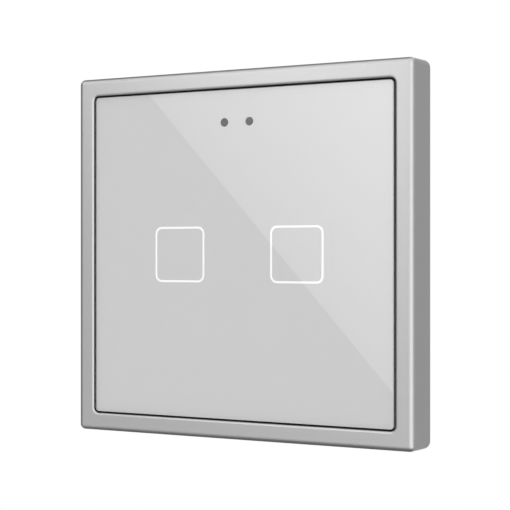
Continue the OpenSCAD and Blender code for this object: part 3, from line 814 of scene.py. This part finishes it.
@dataclass
class TouchModule:
    """What is behind the glass: carrier, electrodes, board, link and the back plate.

    pin_rounding is a share of a pin's half width. A gap is the air between a board and a part on it.
    """

    board_back: float = 4.25
    board_front: float = 5.25
    field_x: float = 14.25
    field_w: float = 12.0
    led: Size = (1.6, 0.8, 0.6)
    lens: Size = (1.12, 0.72, 0.5)
    lens_edge: float = 0.08
    contact_l: float = 0.4
    contact_edge: float = 0.04
    dot_x: float = 3.04
    dot_y: float = 29.1
    sensor: Size = (2.0, 2.0, 0.49)
    dome_r: float = 0.8
    dome_h: float = 0.35
    dome_z: float = 0.35
    controller: Size = (7.0, 7.0, 0.9)
    controller_y: float = -13.0
    controller_gap: float = 0.05
    mark_at: float = 2.6
    mark: tuple[Pair, Pair] = ((0.35, 0.0), (0.3, 0.02))
    pad: Size = (0.25, 0.4, 0.2)
    pad_count: int = 12
    pad_pitch: float = 0.5
    chip: Size = (4.0, 1.7, 0.8)
    chip_at: Pair = (11.0, 13.0)
    chip_gap: float = 0.1
    chip_edge: float = 0.08
    foot: Size = (0.35, 0.4, 0.15)
    foot_y: float = 1.1
    knee: Size = (0.35, 0.2, 0.49)
    knee_y: float = 0.85
    leg_count: int = 4
    leg_pitch: float = 1.0
    leg_gap: float = 0.01
    leg_edge: float = 0.02
    pin_count: int = 6
    pin_pitch: float = 2.54
    pin_w: float = 0.64
    pin_end_w: float = 0.256
    pin_y: float = 8.0
    pin_tip: float = -3.1
    pin_taper: float = 0.7
    pin_rounding: float = 0.2
    magnet_d: float = 8.0
    magnet_z: Pair = (1.45, 2.65)
    magnet_at: Pair = (17.0, 27.0)
    magnet_edge: float = 0.25
    screw_at: float = 31.0
    screw_z: float = 1.55
    screw: Screw = Screw(
        head_d=3.6,
        head_h=0.8,
        shank_d=1.6,
        length=2.6,
        thread_l=2.4,
        drive_w=0.6,
        drive_margin=0.7,
        crown=0.3,
    )

    def leds(self) -> None:
        """Builds the eight diodes: a lens between two end contacts each."""
        length, width, height = self.led
        contact = (self.contact_l, width, height / 2)
        sketch = Sketch()
        for side in SIDES:
            for quarter in QUARTERS:
                place = at(side * self.field_x, 0) @ quarter @ at(0, self.field_w / 2, self.board_front)
                sketch.finish = 0
                sketch.block(self.lens, place @ at(0, 0, height / 2), self.lens_edge)
                sketch.finish = 1
                for end in SIDES:
                    x = end * (length - self.contact_l) / 2
                    sketch.block(contact, place @ at(x, 0, height / 4), self.contact_edge)
        sketch.piece("diodes", FRONT, [RESIN, GOLD], ["indicator_leds"])

    def sensors(self) -> None:
        """Builds both sensor chips with their domed windows."""
        dome = [(self.dome_r, 0.0), *arc((0.0, 0.0), self.dome_r, 20, 70, 4)]
        squat = at(0, 0, self.dome_z) @ Matrix.Diagonal((1, 1, self.dome_h / self.dome_r, 1))
        for side, node in zip(SIDES, ("light_sensor", "presence_sensor")):
            sketch = Sketch()
            place = at(side * self.dot_x, self.dot_y, self.board_front)
            sketch.finish = 1
            sketch.turned(dome, place @ squat, 24)
            sketch.finish = 0
            sketch.block(self.sensor, place @ at(0, 0, self.sensor[2] / 2), self.chip_edge)
            sketch.piece(node + "_chip", FRONT, [EPOXY, RESIN], [node])

    def controller_chip(self) -> None:
        """Builds the touch controller with its corner mark and its edge contacts."""
        width, _, height = self.controller
        middle = at(0, self.controller_y, self.board_back)
        corner = at(self.mark_at, self.mark_at, -height) @ Matrix.Rotation(math.pi, 4, "X")
        sketch = Sketch()
        sketch.turned(self.mark, middle @ corner, 16)
        sketch.hung(self.controller, middle, self.controller_gap)
        sketch.finish = 1
        for quarter in QUARTERS:
            for x in row(self.pad_count, self.pad_pitch):
                place = middle @ quarter @ at(x, (width - self.pad[1]) / 2)
                sketch.hung(self.pad, place, edge=self.leg_edge)
        sketch.piece("controller_chip", FRONT, [EPOXY, STEEL], ["touch_controller"])

    def small_chips(self) -> None:
        """Builds the four small chips with their bent legs."""
        sketch = Sketch()
        for x, y in corners(*self.chip_at):
            place = at(x, y, self.board_back)
            sketch.finish = 0
            sketch.hung(self.chip, place, self.chip_gap, self.chip_edge)
            sketch.finish = 1
            for side in SIDES:
                for along in row(self.leg_count, self.leg_pitch):
                    for leg, reach in ((self.foot, self.foot_y), (self.knee, self.knee_y)):
                        sketch.hung(leg, place @ at(along, side * reach), self.leg_gap, self.leg_edge)
        sketch.piece("small_chips", FRONT, [EPOXY, STEEL], ["board_chips"])

    def pins(self) -> None:
        """Builds the link's square pins with their tapered tips."""
        half, end = self.pin_w / 2, self.pin_end_w / 2
        sections = ((half, self.board_back), (half, self.pin_tip + self.pin_taper), (end, self.pin_tip))
        rings = [square_ring(w, self.pin_rounding * w, z, 3) for w, z in sections]
        sketch = Sketch()
        for x in row(self.pin_count, self.pin_pitch):
            sketch.loft(rings, at(x, self.pin_y), ends="both")
        sketch.piece("gold_pins", FRONT, [GOLD], ["link_pins"])

    def magnets(self) -> None:
        """Builds the four disc magnets with their chamfered edges."""
        half, (low, high), edge = self.magnet_d / 2, self.magnet_z, self.magnet_edge
        section = [(half - edge, low), (half, low + edge), (half, high - edge), (half - edge, high)]
        sketch = Sketch()
        for x, y in corners(*self.magnet_at):
            sketch.turned(section, at(x, y))
        sketch.piece("disc_magnets", FRONT, [NICKEL], ["holding_magnets"])

    def build(self, frame: dict) -> None:
        """Builds the module's pieces and finishes its nodes.

        Args:
            frame: The loaded frame.
        """
        dress_node(frame, "panel_tape", FOAM)
        dress_node(frame, "touch_board", BOARD)
        for name, finish, edge in (
            ("panel_carrier", BLACK, 0.1),
            ("touch_pad_left", BRASS, 0.05),
            ("touch_pad_right", BRASS, 0.05),
            ("link_header", BLACK, 0.08),
            ("back_plate", WHITE, 0.2),
        ):
            edge_node(frame, name, FRONT, finish, edge)
        self.leds()
        self.sensors()
        self.controller_chip()
        self.small_chips()
        self.pins()
        self.magnets()
        self.screw.four("plate_screws", FRONT, self.screw_at, self.screw_z, "cover_screws")


@dataclass
class WallUnit:
    """The wall plate, the lid and the housing in the wall box, with the screws that join them."""

    screw_at: float = 17.5
    screw_z: float = -23.4
    screw: Screw = Screw(head_d=4.4, head_h=1.6, shank_d=2.5, length=23.0, thread_l=5.0, pitch=0.6)

    def build(self, frame: dict) -> None:
        """Builds the long screws and finishes the nodes.

        Args:
            frame: The loaded frame.
        """
        edge_node(frame, "mounting_bracket", BASE, ZINC, edge=0.15)
        edge_node(frame, "base_lid", BASE, WHITE, edge=0.25)
        edge_node(frame, "rear_housing", BASE, WHITE, edge=0.45, below=self.screw_z)
        edge_node(frame, "link_socket", BASE, BLACK, edge=0.08)
        self.screw.four("long_screws", BASE, self.screw_at, self.screw_z, "bracket_screws")


@dataclass
class PowerBoard:
    """The mains board with its relays, transformer and supply parts, all on its back.

    wire_lay and wire_bed are shares of the wire's diameter: its pitch, and how deep its sleeve lies.
    """

    back: float = -5.6
    relay: Size = (10.0, 19.0, 15.4)
    relay_at: Pair = (13.6, -0.85)
    relay_gap: float = 1.0
    relay_edge: float = 0.5
    tray_h: float = 1.4
    tray_rim: float = 0.3
    tray_edge: float = 0.15
    nib: tuple[Pair, ...] = ((0.9, 0.62), (0.9, 0.22), (0.7, 0.02))
    nib_at: Pair = (3.0, 6.5)
    core_y: float = 13.4
    winding_z: Pair = (-14.8, -7.4)
    winding_in: Pair = (3.6, 5.7)
    winding_out: Pair = (7.6, 9.7)
    winding_r: float = 1.2
    sleeve_r: Pair = (0.2, 1.0)
    wire_d: float = 0.5
    wire_lay: float = 1.04
    wire_bed: float = 0.6
    can_d: float = 8.0
    can_h: float = 13.0
    can_at: Pair = (-3.6, 1.0)
    can_rim: float = 0.5
    can_dish: Pair = (0.8, 0.15)
    crimp: float = 0.25
    crimp_z: tuple[float, ...] = (-1.4, -1.8, -2.1, -2.5)
    film: Size = (5.0, 11.0, 10.0)
    film_at: Pair = (3.3, -0.25)
    film_gap: float = 0.6
    film_edge: float = 0.4
    potting: Size = (4.2, 10.2, 1.4)
    disc_d: float = 7.0
    disc_t: float = 3.2
    disc_at: Pair = (-3.5, -6.25)
    disc_swell: float = 1.2
    lead_d: float = 0.7
    lead_l: float = 1.0
    fuse_d: float = 3.2
    fuse_l: float = 5.0
    fuse_at: Pair = (-8.9, 14.6)
    cap_l: float = 1.1
    cap_t: float = 0.15
    cap_edge: float = 0.2
    cap_step: float = 0.05
    rectifier: Size = (4.0, 3.8, 2.4)
    rectifier_at: Pair = (8.7, 14.6)
    rectifier_gap: float = 0.2
    leg: Size = (0.4, 0.6, 0.7)
    leg_at: Pair = (2.1, 0.95)
    leg_edge: float = 0.05

    def relays(self) -> None:
        """Builds both relays: a base tray and a case with a vent nib."""
        width, length, height = self.relay
        x, y = self.relay_at
        for side, node in zip(SIDES, ("relay_left", "relay_right")):
            sketch = Sketch()
            place = at(side * x, y, self.back)
            sketch.turned(self.nib, place @ at(*self.nib_at, -height), 20)
            case = (width - self.tray_rim, length - self.tray_rim, height)
            sketch.hung(case, place, self.relay_gap, self.relay_edge)
            sketch.finish = 1
            sketch.hung((width, length, self.tray_h), place, edge=self.tray_edge)
            sketch.piece(node + "_case", BASE, [RELAY, BLACK], [node])

    def winding(self) -> None:
        """Winds the transformer's copper in one layer over its taped core sleeve."""
        low, high = self.winding_z
        turns = int((high - low) / (self.wire_d * self.wire_lay)) - 1
        lap = rounded_ring(halved(self.winding_out, self.wire_d / 2), self.winding_r, 0.0, 5)
        rise = (high - low - self.wire_d) / (turns * len(lap))
        path = []
        for i in range(turns * len(lap) + 1):
            point = lap[i % len(lap)]
            path.append(Vector((point.x, self.core_y + point.y, low + self.wire_d / 2 + i * rise)))
        sketch = Sketch()
        sketch.tube(path, self.wire_d / 2, 8)
        inner, outer = halved(self.winding_in), halved(self.winding_out, self.wire_bed * self.wire_d)
        tight, loose = self.sleeve_r
        sleeve = ((inner, tight, low), (outer, loose, low), (outer, loose, high), (inner, tight, high))
        sketch.finish = 1
        sketch.loft([rounded_ring(*section) for section in sleeve], at(0, self.core_y), closed=True)
        sketch.piece("copper_winding", BASE, [COPPER, CASE], ["transformer_winding"])

    def can(self) -> None:
        """Builds the electrolytic can: crimped sleeve, rolled rim and a metal top."""
        half, height, rim = self.can_d / 2, self.can_h, self.can_rim
        neck, dish = half - self.crimp, half - self.can_dish[0]
        section = arc((half - rim, -rim), rim, 90, 0, 4)
        section += zip((half, neck, neck, half), self.crimp_z)
        section += [*arc((half - rim, rim - height), rim, 0, -90, 4), (dish, self.can_dish[1] - height)]
        sketch = Sketch()
        sketch.turned(section, at(*self.can_at, self.back))
        list(sketch.bm.faces)[-1].material_index = 1
        sketch.piece("can_capacitor", BASE, [SLEEVE, STEEL], ["smoothing_capacitor"])

    def film_capacitor(self) -> None:
        """Builds the boxed film capacitor with its potting step towards the board."""
        sketch = Sketch()
        place = at(*self.film_at, self.back)
        sketch.hung(self.film, place, self.film_gap, self.film_edge)
        sketch.hung(self.potting, place, edge=self.tray_edge)
        sketch.piece("boxed_capacitor", BASE, [CASE], ["suppression_capacitor"])

    def leads(self, sketch: Sketch, place: Pair, reach: float, z: float) -> None:
        """Adds a part's two straight leads, in the sketch's second finish.

        Args:
            sketch: The part's sketch.
            place: The part's middle, across and up.
            reach: How far a lead sits to either side of it.
            z: The height where the leads start, on their way to the board.
        """
        sketch.finish = 1
        for side in SIDES:
            x = place[0] + side * reach
            path = [Vector((x, place[1], height)) for height in (z, (z + self.back) / 2, self.back)]
            sketch.tube(path, self.lead_d / 2)

    def varistor(self) -> None:
        """Builds the lacquered disc on its two leads."""
        half, swell = self.disc_d / 2, self.disc_swell
        middle = self.back - self.lead_l - half
        rim = arc((half - swell, 0.0), swell, -80, 80, 10)
        section = [(r, z * self.disc_t / 2 / swell) for r, z in rim]
        sketch = Sketch()
        sketch.turned(section, at(*self.disc_at, middle) @ Matrix.Rotation(math.pi / 2, 4, "X"))
        self.leads(sketch, self.disc_at, half / 2, middle)
        sketch.piece("disc_varistor", BASE, [DISC, STEEL], ["varistor"])

    def fuse(self) -> None:
        """Builds the ceramic fuse with its end caps and leads."""
        half, r, edge = self.fuse_l / 2, self.fuse_d / 2, self.cap_edge
        middle = self.back - self.lead_l - r
        barrel = half - self.cap_l - self.cap_step
        section = [(r - edge, -half), (r, edge - half), (r, self.cap_l - half), (r - self.cap_t, -barrel)]
        section += [(radius, -z) for radius, z in reversed(section)]
        sketch = Sketch()
        sketch.turned(section, at(*self.fuse_at, middle) @ Matrix.Rotation(math.pi / 2, 4, "Y"), 32)
        for face in sketch.bm.faces:
            face.material_index = abs(face.calc_center_median().x - self.fuse_at[0]) > barrel
        self.leads(sketch, self.fuse_at, half / 2, middle)
        sketch.piece("ceramic_fuse", BASE, [CERAMIC, STEEL], ["fuse"])

    def rectifier_chip(self) -> None:
        """Builds the bridge rectifier with its four flat legs."""
        sketch = Sketch()
        place = at(*self.rectifier_at, self.back)
        sketch.hung(self.rectifier, place, self.rectifier_gap, self.tray_edge)
        sketch.finish = 1
        for x, y in corners(*self.leg_at):
            sketch.hung(self.leg, place @ at(x, y), edge=self.leg_edge)
        sketch.piece("rectifier_body", BASE, [EPOXY, STEEL], ["bridge_rectifier"])

    def build(self, frame: dict) -> None:
        """Builds the parts on the board and finishes its nodes.

        Args:
            frame: The loaded frame.
        """
        dress_node(frame, "power_board", BOARD)
        edge_node(frame, "transformer_core", BASE, FERRITE, edge=0.15)
        self.relays()
        self.winding()
        self.can()
        self.film_capacitor()
        self.varistor()
        self.fuse()
        self.rectifier_chip()


@dataclass
class TerminalRow:
    """Four numbered terminals with rising cages and captive screws.

    digit_share is a digit's height as a share of its type size.
    """

    count: int = 4
    pitch: float = 7.0
    screw_y: float = -17.25
    screw_z: float = -20.35
    back: float = -24.0
    digit_y: float = -12.9
    digit_h: float = 2.2
    digit_share: float = 0.7
    ink: float = 0.005
    weld: float = 0.001
    screw: Screw = Screw(
        head_d=4.5, head_h=1.7, shank_d=2.8, length=5.5, thread_l=4.4, drive_t=0.8, crown=0.35
    )

    def place(self, number: int) -> float:
        """Returns how far a terminal sits from the middle."""
        return (number - (self.count + 1) / 2) * self.pitch

    def digit(self, number: int) -> None:
        """Prints a terminal's number on the back of its block.

        Args:
            number: The number.
        """
        curve = bpy.data.curves.new(f"digit_{number}", "FONT")
        curve.body = str(number)
        curve.size = self.digit_h / self.digit_share
        curve.align_x = curve.align_y = "CENTER"
        curve.extrude = self.ink
        text = bpy.data.objects.new(f"digit_{number}", curve)
        bpy.context.scene.collection.objects.link(text)
        bpy.context.view_layer.update()
        shaped = text.evaluated_get(bpy.context.evaluated_depsgraph_get())
        sketch = Sketch()
        sketch.bm.from_mesh(bpy.data.meshes.new_from_object(shaped))
        bpy.data.objects.remove(text)
        bmesh.ops.remove_doubles(sketch.bm, verts=sketch.bm.verts, dist=self.weld)
        turn = at(self.place(number), self.digit_y, self.back) @ Matrix.Rotation(math.pi, 4, "Y")
        bmesh.ops.transform(sketch.bm, matrix=turn, verts=sketch.bm.verts)
        sketch.piece(f"terminal_number_{number}", BASE, [WHITE])

    def build(self, frame: dict) -> None:
        """Builds the screws and numbers and finishes the nodes.

        Args:
            frame: The loaded frame.
        """
        edge_node(frame, "terminal_busbars", BASE, BRASS, edge=0.05)
        for number in range(1, self.count + 1):
            edge_node(frame, f"terminal_block_{number}", BASE, TERMINAL, edge=0.15)
            cage, node = f"terminal_cage_{number}", f"terminal_screw_{number}"
            edge_node(frame, cage, cage + "_body", ZINC, edge=0.1)
            sketch = Sketch()
            self.screw.draw(sketch, at(self.place(number), self.screw_y, self.screw_z))
            sketch.piece(f"clamp_screw_{number}_steel", node + "_body", [STEEL], [node])
            self.digit(number)


def heading(azimuth: float, elevation: float) -> Vector:
    """Returns the direction to a side in degrees: 0, 0 is straight in front, positive is right and up."""
    turn, lift = math.radians(azimuth), math.radians(elevation)
    return Vector((math.sin(turn) * math.cos(lift), -math.cos(turn) * math.cos(lift), math.sin(lift)))


def aim(azimuth: float, elevation: float, distance: float) -> Matrix:
    """Returns a place that looks back at the switch from a side."""
    way = heading(azimuth, elevation)
    return Matrix.Translation(way * distance) @ way.to_track_quat("Z", "Y").to_matrix().to_4x4()


def hang_card(name: str, outline: Sequence[Vector]) -> Graph:
    """Makes a flat card that nothing but reflections sees.

    Args:
        name: The card's name.
        outline: Its corners, in metres.
    Returns:
        The empty graph of its material.
    """
    mesh = bpy.data.meshes.new(name)
    mesh.from_pydata([tuple(corner) for corner in outline], [], [tuple(range(len(outline)))])
    card = bpy.data.objects.new(name, mesh)
    bpy.context.scene.collection.objects.link(card)
    for sight in ("camera", "diffuse", "shadow", "transmission"):
        setattr(card, "visible_" + sight, False)
    material, graph = new_material(name)
    mesh.materials.append(material)
    return graph


@dataclass(frozen=True)
class Card:
    """A studio card that only reflections see."""

    name: str
    azimuth: float
    elevation: float
    width: float
    height: float
    level: float
    distance: float = 1.0

    def build(self) -> None:
        """Hangs the card so that it faces the switch."""
        place = aim(self.azimuth, self.elevation, self.distance)
        signs = ((-1, -1), (1, -1), (1, 1), (-1, 1))
        outline = [place @ Vector((sx * self.width / 2, sy * self.height / 2, 0)) for sx, sy in signs]
        graph = hang_card(self.name, outline)
        graph.show(graph.add("Emission", {"Strength": self.level}).outputs[0])


@dataclass(frozen=True)
class Lamp:
    """A large soft lamp that points at the switch and doesn't show in reflections."""

    name: str
    azimuth: float
    elevation: float
    watts: float
    distance: float = 2.5
    size: float = 1.6

    def build(self) -> None:
        """Hangs the lamp."""
        data = bpy.data.lights.new(self.name, "AREA")
        data.size = self.size
        data.energy = self.watts
        lamp = bpy.data.objects.new(self.name, data)
        lamp.matrix_world = aim(self.azimuth, self.elevation, self.distance)
        lamp.visible_glossy = False
        bpy.context.scene.collection.objects.link(lamp)


@dataclass
class Studio:
    """Camera, surround, floor, lamps and reflection cards; lengths here are metres."""

    azimuth: float = 25.16
    distance: float = 0.2662
    aside: float = 0.00424
    drop: float = 0.00012
    front_y: float = -0.0094
    glass_y: float = -0.0093
    lens: float = 85.84
    sensor: float = 36.0
    near: float = 0.01
    floor_z: float = -0.35
    floor_r: float = 0.4
    floor_fade: float = 0.3
    floor_tone: float = 0.9
    floor_speckle: float = 60.0
    floor_spread: float = 0.01
    fill: float = 0.4
    softbox_gap: float = 0.5
    softbox_low: float = 1.28
    softbox_high: float = 2.75
    edge_start: Pair = (-0.0215, 0.0357)
    edge_end: Pair = (0.0356, -0.0281)
    edge_right: float = 0.0405
    bright_spot: Pair = (0.036, 0.036)
    lamps: tuple[Lamp, ...] = (
        Lamp("key_lamp", 25, 35, 25.0),
        Lamp("fill_lamp", -40, 20, 8.0),
        Lamp("rear_lamp", 205, 30, 14.0),
        Lamp("rear_fill_lamp", 140, 10, 8.0),
    )
    cards: tuple[Card, ...] = (
        Card("front_card", -25, 0, 2.2, 2.0, 0.505, 1.3),
        Card("front_low_card", -25, -14.6, 2.2, 0.185, 0.9, 1.2),
        Card("bridge_card", 7, 0, 0.34, 1.6, 1.35, 1.05),
        Card("right_card", 45, 0, 0.96, 1.6, 1.55),
        Card("side_card", 92, 0, 0.82, 1.6, 0.53),
        Card("rear_right_card", 145, 0, 1.6, 1.6, 0.44),
        Card("left_card", -86, 0, 1.25, 1.6, 0.14),
        Card("rear_left_card", -137, 0, 1.0, 2.0, 0.04),
        Card("rear_card", -175, 0, 0.5, 1.0, 0.4, 1.05),
        Card("top_card", -40, 54, 1.2, 0.7, 1.3),
        Card("rear_top_card", -130, 62, 1.3, 0.7, 0.1, 0.9),
        Card("low_card", -25, -88, 0.6, 0.6, 0.1, 0.32),
    )

    def eye(self) -> Vector:
        """Finds the camera's place.

        Returns:
            The place.
        """
        turn = math.radians(self.azimuth)
        across = Vector((math.cos(turn), math.sin(turn), 0))
        front = Vector((0, self.front_y, -self.drop))
        return front + heading(self.azimuth, 0) * self.distance + across * self.aside

    def camera(self) -> None:
        """Sets the photograph's view."""
        data = bpy.data.cameras.new("photo_view")
        data.lens = self.lens
        data.sensor_width = self.sensor
        data.clip_start = self.near
        camera = bpy.data.objects.new("photo_view", data)
        camera.location = self.eye()
        camera.rotation_euler = (math.pi / 2, 0, math.radians(self.azimuth))
        bpy.context.scene.collection.objects.link(camera)
        bpy.context.scene.camera = camera

    def surround(self) -> None:
        """Makes the white surround, which sheds a softer light than it shows."""
        world = bpy.data.worlds.new("white_surround")
        world.use_nodes = True
        world.node_tree.nodes.clear()
        graph = Graph(world.node_tree)
        path = graph.add("LightPath").outputs
        seen = graph.math("MAXIMUM", path["Is Camera Ray"], path["Is Glossy Ray"])
        seen = graph.math("MAXIMUM", seen, path["Is Transmission Ray"])
        strength = graph.math("MULTIPLY_ADD", seen, 1.0 - self.fill, self.fill)
        back = graph.add("Background", {"Color": (1.0, 1.0, 1.0, 1.0), "Strength": strength})
        graph.add("OutputWorld", {"Surface": back.outputs[0]})
        bpy.context.scene.world = world

    def floor(self) -> None:
        """Lays a pale round floor below the switch, which fades out towards its edge."""
        bm = bmesh.new()
        bmesh.ops.create_circle(bm, cap_ends=True, segments=96, radius=self.floor_r)
        mesh = bpy.data.meshes.new("pale_floor")
        bm.to_mesh(mesh)
        bm.free()
        floor = bpy.data.objects.new("pale_floor", mesh)
        floor.location = (0, 0, self.floor_z)
        bpy.context.scene.collection.objects.link(floor)
        material, graph = new_material("pale_floor")
        place = graph.add("TexCoord").outputs["Object"]
        reach = graph.add("VectorMath", {0: place}, operation="LENGTH").outputs["Value"]
        span = {"From Min": self.floor_r, "From Max": self.floor_fade * self.floor_r}
        fade = graph.add("MapRange", {"Value": reach, **span}).outputs[0]
        speckle = graph.add("TexNoise", {"Vector": place, "Scale": self.floor_speckle, "Detail": 2.0})
        value = graph.spread(1.0, self.floor_spread, speckle.outputs[0])
        tone = (self.floor_tone, self.floor_tone, self.floor_tone, 1.0)
        color = graph.add("HueSaturation", {"Color": tone, "Value": value}).outputs[0]
        shader = graph.add("BsdfPrincipled", {"Base Color": color, "Roughness": 0.9, "Alpha": fade})
        graph.show(shader.outputs[0])
        mesh.materials.append(material)

    def mirrored(self, spot: Pair) -> Vector:
        """Finds the point of the softbox that shows at a spot of the glass.

        Args:
            spot: The spot, across and up.
        Returns:
            The point on the softbox.
        """
        eye = self.eye()
        share = self.softbox_gap / (self.glass_y - eye.y)
        x, z = spot
        return Vector((x + (x - eye.x) * share, self.glass_y - self.softbox_gap, z + (z - eye.z) * share))

    def softbox(self) -> None:
        """Hangs the softbox whose slanted edge shows in the glass, brighter away from that edge."""
        start, end = Vector(self.edge_start), Vector(self.edge_end)
        along = end - start
        first = start - along
        last = start + along * ((self.edge_right - start.x) / along.x)
        outline = [self.mirrored(spot) for spot in (first, last, (last.x, first.y))]
        graph = hang_card("softbox", outline)
        across = Vector((-along.y, 0, along.x)).normalized()
        reach = across.dot(self.mirrored(self.bright_spot) - outline[0])
        place = graph.add("TexCoord").outputs["Object"]
        offset = graph.add("VectorMath", {0: place, 1: outline[0]}, operation="SUBTRACT").outputs[0]
        depth = graph.add("VectorMath", {0: offset, 1: across}, operation="DOT_PRODUCT").outputs["Value"]
        span = {"From Max": reach, "To Min": self.softbox_low, "To Max": self.softbox_high}
        rise = graph.add("MapRange", {"Value": depth, **span})
        graph.show(graph.add("Emission", {"Strength": rise.outputs[0]}).outputs[0])

    def build(self) -> None:
        """Sets the whole stage."""
        bpy.context.scene.view_settings.view_transform = "Standard"
        self.camera()
        self.surround()
        self.floor()
        for fitting in (*self.lamps, *self.cards):
            fitting.build()
        self.softbox()


def main() -> None:
    """Builds the stage, then each sub-assembly."""
    logging.basicConfig(level=logging.INFO, format="%(name)s: %(message)s")
    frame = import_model()
    Studio().build()
    SilverFrame().build()
    glass = TouchGlass()
    glass.build()
    glass.dress(frame)
    TouchModule().build(frame)
    WallUnit().build(frame)
    PowerBoard().build(frame)
    TerminalRow().build(frame)


if __name__ == "__main__":
    main()
